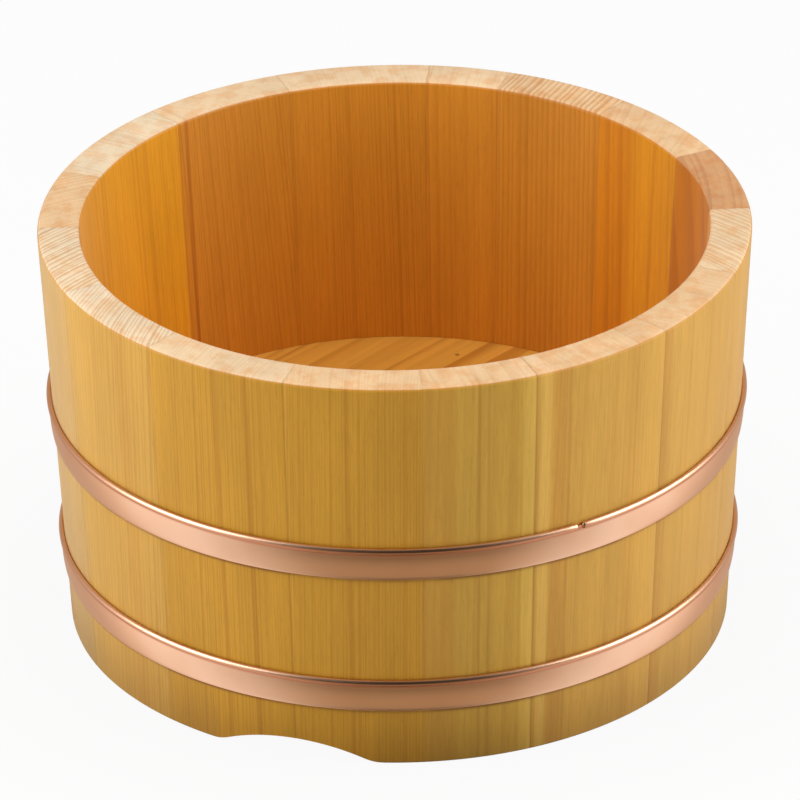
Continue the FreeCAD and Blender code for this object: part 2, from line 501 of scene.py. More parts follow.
def build_grain_group() -> Tree:
    """Growth rings and fibres of a sawn piece whose grain runs along Z.

    Returns:
        Group that puts out Ring (dark late wood), Fibre, Fleck (short pores), Shade (slow change), Blotch
        and Relief.
    """
    inputs = {"Vector": "Vector", "Pith X": "Float", "Pith Y": "Float", "Lean": "Float",
              "Spacing": "Float", "Warp": "Float", "Evenness": "Float", "Seed": "Float"}
    labels = ("Ring", "Fibre", "Fleck", "Shade", "Blotch", "Relief")
    scales = {"wander": 34.0, "years": 0.37, "fibre": 1500.0, "pore": 2400.0, "shade": 75.0, "blotch": 210.0}
    graph, given, out = start_group("wood_grain", inputs, dict.fromkeys(labels, "Float"))
    whole, seed = given["Vector"], given["Seed"]
    slow_place = graph.stretched(whole, 0.16)
    wander = graph.noise(slow_place, scales["wander"], 2.0, seed)
    offset = graph.vector("SUBTRACT", wander.outputs["Color"], (0.5, 0.5, 0.5))
    place = graph.parts(graph.vector("ADD", whole, graph.scaled(offset, given["Warp"])))
    leaning = graph.math("MULTIPLY", place[2], given["Lean"])
    across = graph.math("SUBTRACT", graph.math("SUBTRACT", place[0], given["Pith X"]), leaning)
    depth = graph.math("SUBTRACT", place[1], given["Pith Y"])
    squares = graph.math("ADD", graph.math("MULTIPLY", across, across), graph.math("MULTIPLY", depth, depth))
    age = graph.math("DIVIDE", graph.math("SQRT", squares), given["Spacing"])
    slow_years = {"W": age, "Scale": scales["years"], "Detail": 1.0}
    uneven = graph.add("TexNoise", slow_years, noise_dimensions="1D").outputs[0]
    most_drift, least_drift = 3.0, 0.6
    drift = graph.math("MULTIPLY_ADD", given["Evenness"], least_drift - most_drift, most_drift)
    phase = graph.math("ADD", age, graph.math("MULTIPLY", uneven, drift))
    within = graph.math("FRACT", phase)
    darkens, darkest, ends = 0.30, 0.90, 0.93
    rise, fall = graph.ramp(within, darkens, darkest), graph.ramp(within, ends, 1.0, 1.0, 0.0)
    late = graph.math("MULTIPLY", rise, fall)
    year = graph.math("ADD", graph.math("FLOOR", phase), graph.math("MULTIPLY", seed, 7.3))
    vigour = graph.add("TexWhiteNoise", {"W": year}, noise_dimensions="1D").outputs["Value"]
    spread = graph.math("SUBTRACT", 1.0, given["Evenness"])
    weight = graph.math("MULTIPLY_ADD", vigour, spread, given["Evenness"])
    ring = graph.math("MULTIPLY", late, weight)
    fibre = graph.noise(graph.stretched(whole, 0.025), scales["fibre"], 2.0, seed).outputs[0]
    fleck = graph.noise(graph.stretched(whole, 0.09), scales["pore"], 1.0, seed).outputs[0]
    shade = graph.noise(slow_place, scales["shade"], 2.0, graph.math("ADD", seed, 3.0)).outputs[0]
    blotch_seed = graph.math("ADD", seed, 6.0)
    blotch = graph.noise(graph.stretched(whole, 0.3), scales["blotch"], 3.0, blotch_seed).outputs[0]
    relief = graph.math("ADD", graph.math("MULTIPLY", ring, 0.6), graph.math("MULTIPLY", fibre, 0.5))
    for label, value in zip(labels, (ring, fibre, fleck, shade, blotch, relief)):
        graph.fill(out.inputs[label], value)
    return graph.tree


def build_streak_group() -> Tree:
    """A streak that runs up a stave through its whole thickness.

    Returns:
        Group that puts out the streak's Mask for its Place, Half Width and Softness, all in radians.
    """
    inputs = {"Vector": "Vector", "Place": "Float", "Half Width": "Float", "Softness": "Float"}
    graph, given, out = start_group("stave_streak", inputs, {"Mask": "Float"})
    wobble = graph.noise(graph.stretched(given["Vector"], 0.2), scale=40.0, detail=1.0).outputs[0]
    play = 0.006
    wavering = graph.math("MULTIPLY_ADD", wobble, play, -play / 2)
    bearing = graph.math("ADD", graph.bearing(given["Vector"]), wavering)
    off = graph.math("ABSOLUTE", graph.math("SUBTRACT", bearing, given["Place"]))
    past = graph.math("DIVIDE", graph.math("SUBTRACT", off, given["Half Width"]), given["Softness"])
    graph.fill(out.inputs["Mask"], graph.ramp(past, 0.0, 1.0, 1.0, 0.0))
    return graph.tree


def build_joint_group() -> Tree:
    """The dark hairline where two staves meet.

    Returns:
        Group that puts out a Left and a Right mask for a stave's Half Sweep and the line's Width, in radians.
    """
    inputs = {"Vector": "Vector", "Half Sweep": "Float", "Width": "Float"}
    graph, given, out = start_group("stave_joint", inputs, {"Left": "Float", "Right": "Float"})
    bearing = graph.bearing(given["Vector"])
    for label, side in (("Left", -1.0), ("Right", 1.0)):
        gap = graph.math("SUBTRACT", given["Half Sweep"], graph.math("MULTIPLY", bearing, side))
        past = graph.math("DIVIDE", gap, given["Width"])
        graph.fill(out.inputs[label], graph.ramp(past, 0.0, 1.0, 1.0, 0.0))
    return graph.tree


def build_hoop_shadow_group() -> Tree:
    """Painted shadow on the wood along a hoop's two edges: a brown line under the hoop and a faint one over its
    top.

    Returns:
        Group that puts out a Mask for the heights of a hoop's Bottom and Top edge, outside an Inner Radius.
    """
    clear, reach_below, reach_above, strength_above = 0.0004, 0.0018, 0.0007, 0.1
    patch_band, faintest = (0.3, 0.65), 0.45
    inputs = {"Vector": "Vector", "Bottom": "Float", "Top": "Float", "Inner Radius": "Float"}
    graph, given, out = start_group("painted_hoop_shadow", inputs, {"Mask": "Float"})
    height = graph.parts(given["Vector"])[2]
    radius = graph.measure("LENGTH", graph.stretched(given["Vector"], 0.0))
    outside = graph.math("GREATER_THAN", radius, given["Inner Radius"])
    patches = graph.noise(graph.stretched(given["Vector"], 0.2), scale=42.0, detail=2.0, seed=7.0).outputs[0]
    strength = graph.math("MULTIPLY", graph.ramp(patches, *patch_band, faintest, 1.0), outside)
    # Painted shadow: a brown line just under the hoop, and a faint painted shade just over its top edge
    below = graph.ramp(graph.math("SUBTRACT", given["Bottom"], height), clear, reach_below, 1.0, 0.0)
    above = graph.ramp(graph.math("SUBTRACT", height, given["Top"]), 0.0, reach_above, strength_above, 0.0)
    under_hoop = graph.math("GREATER_THAN", height, given["Bottom"])
    over_top = graph.math("GREATER_THAN", height, given["Top"])
    lower = graph.math("MULTIPLY", below, graph.math("SUBTRACT", 1.0, under_hoop))
    upper = graph.math("MULTIPLY", above, over_top)
    graph.fill(out.inputs["Mask"], graph.math("MULTIPLY", graph.math("ADD", lower, upper), strength))
    return graph.tree


class Effects:
    """The node groups that more than one finish uses, each built once."""

    def __init__(self) -> None:
        """Build the groups."""
        self.grain = build_grain_group()
        self.streak = build_streak_group()
        self.joint = build_joint_group()
        self.hoop_shadow = build_hoop_shadow_group()


# Finishes


@dataclass(frozen=True)
class Palette:
    """Colours of a wood's early and late growth."""

    early: Colour
    late: Colour


class SideTone(Enum):
    """How the side grain of a stave or board is tinted."""

    HONEY = Palette((210, 153, 43), (180, 117, 20))
    GOLD = Palette((216, 163, 50), (190, 127, 26))
    WHEAT = Palette((217, 165, 70), (194, 133, 42))
    STRAW = Palette((219, 166, 69), (197, 133, 42))
    # Pale wood, and partly a painted sheen for the stave at the tub's left edge, where the wall is seen edge-on
    PALE = Palette((220, 176, 102), (203, 149, 72))
    OLIVE = Palette((212, 163, 62), (184, 130, 36))
    AMBER = Palette((238, 169, 28), (208, 129, 12))
    TAWNY = Palette((228, 155, 26), (198, 120, 12))
    RUSSET = Palette((218, 147, 42), (184, 108, 18))
    ROSE = Palette((208, 128, 14), (178, 96, 8))
    FLOOR = Palette((229, 168, 66), (192, 123, 34))


class EndTone(Enum):
    """How the end grain on the rim is tinted."""

    CREAM = Palette((248, 224, 188), (216, 168, 118))
    BLOND = Palette((245, 213, 171), (220, 172, 120))
    PEACH = Palette((242, 203, 155), (214, 158, 102))
    NUT = Palette((218, 163, 111), (186, 124, 74))


class Cut(Enum):
    """How the growth rings cross a piece: direction of the pith from it, 0 sideways and 90 behind it."""

    QUARTER = 4.0
    RIFT = 36.0
    CROSS_RIFT = 144.0
    FLAT = 82.0


@dataclass(frozen=True)
class Streak:
    """A coloured streak up a stave, whose bearing counts from the stave's middle."""

    bearing: float
    half_width: float
    softness: float
    colour: Colour
    strength: float


@dataclass(frozen=True)
class Grain:
    """How one piece of wood was sawn and how plainly its rings show."""

    cut: Cut = Cut.QUARTER
    side: SideTone = SideTone.HONEY
    inner: SideTone | None = None
    end: EndTone = EndTone.BLOND
    spacing: float = 0.0017
    contrast: float = 0.5
    end_contrast: float = 0.4
    lean: float = 0.012
    warp: float = 0.0012
    evenness: float = 0.25
    streaks: tuple[Streak, ...] = ()


@dataclass(frozen=True)
class WoodFinish:
    """Oiled wood, with its grain placed in the piece's own frame."""

    name: str
    grain: Grain
    seed: float
    frame_turn: Matrix
    middle: Vector
    end_axis: Vector
    half_sweep: float = 0.0
    joint_strength: tuple[float, float] = (0.0, 0.0)
    hoop_edges: tuple[tuple[float, float], ...] = ()
    knot: Vector | None = None
    pith_distance: float = 0.16
    roughness: float = 0.5
    end_roughness: float = 0.65
    specular: float = 0.3
    sheen: float = 0.26
    sheen_roughness: float = 0.4
    relief_height: float = 0.00003
    relief_strength: float = 0.5
    slow_level: tuple[float, float] = (0.93, 1.06)
    fine_level: tuple[float, float] = (0.95, 1.045)
    end_band: tuple[float, float] = (0.35, 0.75)
    pore_band: tuple[float, float] = (0.56, 0.72)
    pore_strength: float = 0.22
    blotch_band: tuple[float, float] = (0.4, 0.68)
    streak_on_end: float = 0.3
    joint_width_radians: float = 0.0065
    joint_colour: Colour = (158, 98, 42)
    edge_colour: Colour = (240, 214, 178)
    # Painted shadow along the hoops' edges
    hoop_shadow_colour: Colour = (132, 78, 26)
    hoop_shadow_strength: float = 0.85
    core_radius: float = 0.1005
    # Painted shade: the staves darken towards the foot, up to this height
    foot_height: float = 0.022
    foot_shade_tone: Colour = (237, 232, 208)
    knot_colour: Colour = (112, 58, 22)
    knot_radius: float = 0.0011
    knot_core: float = 0.3
    knot_strength: float = 0.7
    end_blotch: Colour = (250, 232, 214)

    def build(self, effects: Effects) -> Material:
        """Build the material.

        Args:
            effects: The shared node groups.

        Returns:
            The material.
        """
        material, graph = start_material(self.name)
        place = graph.add("TexCoord").outputs["Object"]
        turn = graph.add("Mapping", {"Vector": place, "Rotation": self.frame_turn.to_euler("XYZ")})
        local = turn.outputs[0]
        angle = math.radians(self.grain.cut.value)
        pith = self.middle + Vector((math.cos(angle), math.sin(angle), 0)) * self.pith_distance
        rings = graph.group(effects.grain, {
            "Vector": local, "Pith X": pith.x, "Pith Y": pith.y, "Lean": self.grain.lean,
            "Spacing": self.grain.spacing, "Warp": self.grain.warp, "Evenness": self.grain.evenness,
            "Seed": self.seed,
        }).outputs
        end = self.end_mask(graph)
        side, face = self.side_colour(graph, place, rings), self.end_colour(graph, rings)
        colour = graph.blend(end, side, face)
        # Darker and warmer along the eased edges, where end grain turns into side grain
        both = graph.math("MULTIPLY", end, graph.math("SUBTRACT", 1.0, end))
        edge_band = graph.math("MULTIPLY", both, 4.0)
        colour = graph.blend(edge_band, colour, linear(self.edge_colour), "MULTIPLY")
        colour = self.add_streaks(graph, effects, local, end, colour)
        colour = self.add_joints(graph, effects, local, colour)
        colour = self.add_painted_shade_and_knot(graph, effects, place, colour)
        slow = graph.ramp(rings["Shade"], *NOISE_BAND, *self.slow_level)
        fine = graph.ramp(rings["Fibre"], *NOISE_BAND, *self.fine_level)
        colour = graph.scaled(colour, graph.math("MULTIPLY", slow, fine))
        roughness = graph.ramp(end, 0.0, 1.0, self.roughness, self.end_roughness)
        bump = graph.add("Bump", {
            "Height": rings["Relief"], "Distance": self.relief_height, "Strength": self.relief_strength,
        })
        shader = graph.add("BsdfPrincipled", {
            "Base Color": colour, "Roughness": roughness, "Specular IOR Level": self.specular,
            "Sheen Weight": self.sheen, "Sheen Roughness": self.sheen_roughness, "Normal": bump.outputs[0],
        })
        graph.add("OutputMaterial", {"Surface": shader.outputs[0]})
        return material

    def side_colour(self, graph: Graph, place: Socket, rings: dict) -> Socket:
        """Colour along the fibres: rings as lines, with short pores, and a deeper tone inside the tub.

        Args:
            graph: The material's graph.
            place: Place in the tub.
            rings: Outputs of the grain group.

        Returns:
            The colour.
        """
        early, late = linear(self.grain.side.value.early), linear(self.grain.side.value.late)
        if self.grain.inner is not None:
            radius = graph.measure("LENGTH", graph.stretched(place, 0.0))
            inside = graph.math("LESS_THAN", radius, self.core_radius)
            early = graph.blend(inside, early, linear(self.grain.inner.value.early))
            late = graph.blend(inside, late, linear(self.grain.inner.value.late))
        factor = graph.math("MULTIPLY", rings["Ring"], self.grain.contrast)
        plain = graph.blend(factor, early, late)
        pores = graph.ramp(rings["Fleck"], *self.pore_band, 0.0, self.pore_strength)
        return graph.blend(pores, plain, late)

    def end_colour(self, graph: Graph, rings: dict) -> Socket:
        """Colour across the fibres: sawn rings under a slightly blotched, sanded face.

        Args:
            graph: The material's graph.
            rings: Outputs of the grain group.

        Returns:
            The colour.
        """
        tone = self.grain.end.value
        factor = graph.math("MULTIPLY", rings["Ring"], self.grain.end_contrast)
        plain = graph.blend(factor, linear(tone.early), linear(tone.late))
        blotches = graph.ramp(rings["Blotch"], *self.blotch_band)
        return graph.blend(blotches, plain, linear(self.end_blotch), "MULTIPLY")

    def end_mask(self, graph: Graph) -> Socket:
        """Mask of the end grain, where the surface faces along the fibres."""
        facing = graph.measure("DOT_PRODUCT", graph.add("NewGeometry").outputs["Normal"], self.end_axis)
        return graph.ramp(graph.math("ABSOLUTE", facing), *self.end_band)

    def add_streaks(self, graph: Graph, effects: Effects, local: Socket, end: Socket, colour: Socket) -> Socket:
        """Lay the piece's streaks over its colour, fainter on the end grain.

        Args:
            graph: The material's graph.
            effects: The shared node groups.
            local: Place in the piece's own frame.
            end: Mask of the end grain.
            colour: The colour so far.

        Returns:
            The streaked colour.
        """
        plainness = graph.ramp(end, 0.0, 1.0, 1.0, self.streak_on_end)
        for streak in self.grain.streaks:
            mask = graph.group(effects.streak, {
                "Vector": local, "Place": math.radians(streak.bearing),
                "Half Width": math.radians(streak.half_width), "Softness": math.radians(streak.softness),
            }).outputs[0]
            factor = graph.math("MULTIPLY", graph.math("MULTIPLY", mask, streak.strength), plainness)
            colour = graph.blend(factor, colour, linear(streak.colour), "MULTIPLY")
        return colour

    def add_painted_shade_and_knot(self, graph: Graph, effects: Effects, place: Socket, colour: Socket) -> Socket:
        """Add the painted shadow along the hoops' edges, the painted shade towards the foot and the pin knot,
        where the piece has them.

        Args:
            graph: The material's graph.
            effects: The shared node groups.
            place: Place in the tub.
            colour: The colour so far.

        Returns:
            The worn colour.
        """
        # Painted shadow along each hoop's bottom and top edge
        for bottom, top in self.hoop_edges:
            edges = {"Vector": place, "Bottom": bottom, "Top": top, "Inner Radius": self.core_radius}
            mask = graph.group(effects.hoop_shadow, edges).outputs[0]
            factor = graph.math("MULTIPLY", mask, self.hoop_shadow_strength)
            colour = graph.blend(factor, colour, linear(self.hoop_shadow_colour))
        if self.hoop_edges:
            # Painted shade: the staves darken towards the foot
            painted_foot_shade = graph.ramp(graph.parts(place)[2], 0.0, self.foot_height, 1.0, 0.0)
            colour = graph.blend(painted_foot_shade, colour, linear(self.foot_shade_tone), "MULTIPLY")
        if self.knot is not None:
            away = graph.measure("DISTANCE", place, self.knot)
            core = self.knot_radius * self.knot_core
            mask = graph.ramp(away, core, self.knot_radius, self.knot_strength, 0.0)
            colour = graph.blend(mask, colour, linear(self.knot_colour))
        return colour

    def add_joints(self, graph: Graph, effects: Effects, local: Socket, colour: Socket) -> Socket:
        """Darken the hairlines at a stave's two joints.

        Args:
            graph: The material's graph.
            effects: The shared node groups.
            local: Place in the piece's own frame.
            colour: The colour so far.

        Returns:
            The colour with its joints.
        """
        if not self.half_sweep:
            return colour
        sweep = math.radians(self.half_sweep)
        inputs = {"Vector": local, "Half Sweep": sweep, "Width": self.joint_width_radians}
        masks = graph.group(effects.joint, inputs).outputs
        for mask, strength in zip(masks, self.joint_strength):
            colour = graph.blend(graph.math("MULTIPLY", mask, strength), colour, linear(self.joint_colour))
        return colour


@dataclass(frozen=True)
class CopperFinish:
    """Satin copper, rubbed along the hoop's length, with a painted shade along the crease under the bead."""

    name: str
    crease_heights: tuple[float, ...]
    bright: Colour = (240, 193, 161)
    dull: Colour = (235, 185, 151)
    # Painted shade along the crease under the bead
    crease_shade_colour: Colour = (188, 94, 46)
    roughness: float = 0.3
    roughness_spread: float = 0.04
    coat: float = 0.15
    coat_roughness: float = 0.3
    crease_rise: float = 0.0004
    crease_width: float = 0.0014
    crease_shade_strength: float = 0.7
    relief_height: float = 0.00002
    relief_strength: float = 0.6
    rubbed_relief: float = 0.08
    rubbed_share: float = 0.6
    tarnish_band: tuple[float, float] = (0.35, 0.75)
    rough_band: tuple[float, float] = (0.3, 0.7)

    def build(self) -> Material:
        """Build the material.

        Returns:
            The material.
        """
        material, graph = start_material(self.name)
        place = graph.add("TexCoord").outputs["Object"]
        lengthwise = graph.vector("MULTIPLY", place, (0.02, 0.02, 1.0))
        rubbed = graph.noise(lengthwise, scale=5200.0, detail=3.0).outputs[0]
        cloud = graph.noise(place, scale=55.0, detail=3.0, seed=2.0).outputs[0]
        colour = graph.blend(graph.ramp(cloud, *self.tarnish_band), linear(self.bright), linear(self.dull))
        height = graph.parts(place)[2]
        # Painted shade along the crease under each bead
        for crease in self.crease_heights:
            off = graph.math("ABSOLUTE", graph.math("SUBTRACT", height, crease + self.crease_rise))
            mask = graph.ramp(off, 0.0, self.crease_width, self.crease_shade_strength, 0.0)
            colour = graph.blend(mask, colour, linear(self.crease_shade_colour))
        clouded = graph.math("MULTIPLY", cloud, 1.0 - self.rubbed_share)
        mixed = graph.math("MULTIPLY_ADD", rubbed, self.rubbed_share, clouded)
        rough = graph.ramp(mixed, *self.rough_band, self.roughness, self.roughness + self.roughness_spread)
        dents = graph.noise(graph.stretched(place, 2.0), scale=90.0, detail=1.0, seed=5.0).outputs[0]
        relief = graph.math("MULTIPLY_ADD", rubbed, self.rubbed_relief, dents)
        bump = graph.add("Bump", {
            "Height": relief, "Distance": self.relief_height, "Strength": self.relief_strength,
        })
        shader = graph.add("BsdfPrincipled", {
            "Base Color": colour, "Metallic": 1.0, "Roughness": rough, "Normal": bump.outputs[0],
            "Coat Weight": self.coat, "Coat Roughness": self.coat_roughness,
        })
        graph.add("OutputMaterial", {"Surface": shader.outputs[0]})
        return material


@dataclass(frozen=True)
class BambooFinish:
    """Split bamboo, for the hidden pegs."""

    name: str = "split_bamboo"
    pale: Colour = (226, 200, 142)
    dark: Colour = (186, 150, 92)
    roughness: float = 0.5
    strand_scale: float = 1800.0
    strand_band: tuple[float, float] = (0.4, 0.65)

    def build(self) -> Material:
        """Build the material.

        Returns:
            The material.
        """
        material, graph = start_material(self.name)
        place = graph.add("TexCoord").outputs["Object"]
        strands = graph.noise(place, self.strand_scale, detail=2.0).outputs[0]
        colour = graph.blend(graph.ramp(strands, *self.strand_band), linear(self.pale), linear(self.dark))
        shader = graph.add("BsdfPrincipled", {"Base Color": colour, "Roughness": self.roughness})
        graph.add("OutputMaterial", {"Surface": shader.outputs[0]})
        return material


# The tub's sub-assemblies


@dataclass(frozen=True)
class Taper:
    """The wall's taper, which every sub-assembly follows."""

    height: float = 0.136
    rim_radius: float = 0.1125
    foot_radius: float = 0.1053
    wall: float = 0.0134

    def outer(self, z: float) -> float:
        """Radius of the wall's outside at a height."""
        return self.foot_radius + (self.rim_radius - self.foot_radius) * z / self.height

    def inner(self, z: float) -> float:
        """Radius of the wall's inside at a height."""
        return self.outer(z) - self.wall


@dataclass(frozen=True)
class Groove:
    """The groove in the staves, and the height and tongue of the base that sits in it."""

    floor_height: float = 0.045
    tongue: float = 0.009
    clearance: float = 0.0001
    depth: float = 0.004

    @property
    def top(self) -> float:
        """Height of the groove's upper face."""
        return self.floor_height + self.clearance

    @property
    def bottom(self) -> float:
        """Height of the groove's lower face."""
        return self.floor_height - self.tongue - self.clearance

    def radius(self, taper: Taper) -> float:
        """Radius of the groove's own floor."""
        return taper.inner(self.floor_height) + self.depth


@dataclass(frozen=True)
class Plank:
    """One stave: its width, its share of the circle, and its wood."""

    width: float
    grain: Grain
    joint_strength: tuple[float, float] = (0.12, 0.12)


DARK_LINE: Colour = (208, 176, 136)
RED_STREAK: Colour = (243, 226, 212)
BROWN_STREAK: Colour = (248, 240, 230)
PALE_STREAK: Colour = (270, 280, 306)

# Once round from the first joint, which is on the right, by way of the back. Each has its share of the circle,
# then its cut, its tones outside, inside and on the rim, and its ring spacing and contrasts.
PLANKS = (
    Plank(43, Grain(Cut.FLAT, SideTone.WHEAT, SideTone.ROSE, EndTone.NUT, 0.0030, 0.5, 0.45)),
    Plank(45, Grain(Cut.RIFT, SideTone.HONEY, SideTone.TAWNY, EndTone.PEACH, 0.0030, 0.5, 0.3, streaks=(
        Streak(7.6, 3.5, 3.0, RED_STREAK, 0.8), Streak(-4.0, 0.3, 0.5, DARK_LINE, 0.3),
    ))),
    Plank(43, Grain(
        Cut.QUARTER, SideTone.STRAW, SideTone.RUSSET, EndTone.PEACH, 0.0020, 0.45, 0.95, evenness=0.7,
    )),
    Plank(27, Grain(Cut.QUARTER, SideTone.HONEY, SideTone.RUSSET, EndTone.BLOND, 0.0024, 0.5, 0.4), (0.2, 0.3)),
    Plank(51, Grain(Cut.QUARTER, SideTone.GOLD, SideTone.RUSSET, EndTone.BLOND, 0.0013, 0.45, 0.2)),
    Plank(48, Grain(Cut.RIFT, SideTone.HONEY, SideTone.RUSSET, EndTone.BLOND, 0.0013, 0.45, 0.2, streaks=(
        Streak(10.3, 0.25, 0.4, DARK_LINE, 0.6),
    ))),
    Plank(51, Grain(Cut.QUARTER, SideTone.WHEAT, SideTone.AMBER, EndTone.CREAM, 0.0017, 0.4, 0.25)),
    Plank(40, Grain(Cut.RIFT, SideTone.GOLD, SideTone.AMBER, EndTone.PEACH, 0.0020, 0.4, 0.35, streaks=(
        Streak(10.4, 1.0, 0.8, RED_STREAK, 0.8),
    ))),
    # Pale tone with partly painted sheen, at the tub's left edge
    Plank(45, Grain(
        Cut.RIFT, SideTone.PALE, SideTone.TAWNY, EndTone.CREAM, 0.0017, 0.4, 0.9, evenness=0.6,
        streaks=(Streak(12.0, 1.0, 8.0, BROWN_STREAK, 0.3),),
    )),
    Plank(46, Grain(
        Cut.RIFT, SideTone.WHEAT, SideTone.TAWNY, EndTone.CREAM, 0.0014, 0.45, 0.7, evenness=0.6,
        streaks=(Streak(-12.0, 1.0, 9.0, PALE_STREAK, 0.4), Streak(4.6, 0.9, 1.0, BROWN_STREAK, 0.6)),
    )),
    Plank(48, Grain(Cut.QUARTER, SideTone.HONEY, SideTone.RUSSET, EndTone.BLOND, 0.0012, 0.5, 0.3, streaks=(
        Streak(0.3, 0.25, 0.4, DARK_LINE, 0.3), Streak(5.8, 0.25, 0.4, DARK_LINE, 0.35),
    ))),
    Plank(43, Grain(Cut.QUARTER, SideTone.HONEY, SideTone.RUSSET, EndTone.PEACH, 0.0012, 0.45, 0.25, streaks=(
        Streak(-1.0, 0.2, 0.4, DARK_LINE, 0.3),
    ))),
    Plank(36, Grain(Cut.QUARTER, SideTone.OLIVE, SideTone.RUSSET, EndTone.PEACH, 0.0036, 0.25, 0.3, streaks=(
        Streak(8.1, 0.8, 0.5, PALE_STREAK, 0.8), Streak(-6.7, 2.2, 1.2, BROWN_STREAK, 1.0),
        Streak(-0.2, 0.1, 0.3, DARK_LINE, 0.3), Streak(1.4, 0.1, 0.3, DARK_LINE, 0.2),
    )), (0.1, 0.32)),
    Plank(49, Grain(Cut.QUARTER, SideTone.STRAW, SideTone.TAWNY, EndTone.PEACH, 0.0016, 0.3, 0.25, streaks=(
        Streak(-10.9, 0.7, 0.5, PALE_STREAK, 0.9), Streak(-8.2, 0.8, 0.9, RED_STREAK, 0.55),
        Streak(-6.6, 0.1, 0.3, DARK_LINE, 0.3), Streak(6.0, 0.6, 1.2, BROWN_STREAK, 0.6),
    )), (0.26, 0.15)),
    Plank(44, Grain(Cut.QUARTER, SideTone.WHEAT, SideTone.RUSSET, EndTone.PEACH, 0.0016, 0.3, 0.3, streaks=(
        Streak(-10.4, 0.7, 1.4, RED_STREAK, 0.5), Streak(-4.0, 0.15, 0.3, DARK_LINE, 0.15),
    )), (0.15, 0.15)),
    Plank(45, Grain(
        Cut.CROSS_RIFT, SideTone.STRAW, SideTone.TAWNY, EndTone.BLOND, 0.0020, 0.3, 0.75, evenness=0.5,
    )),
)


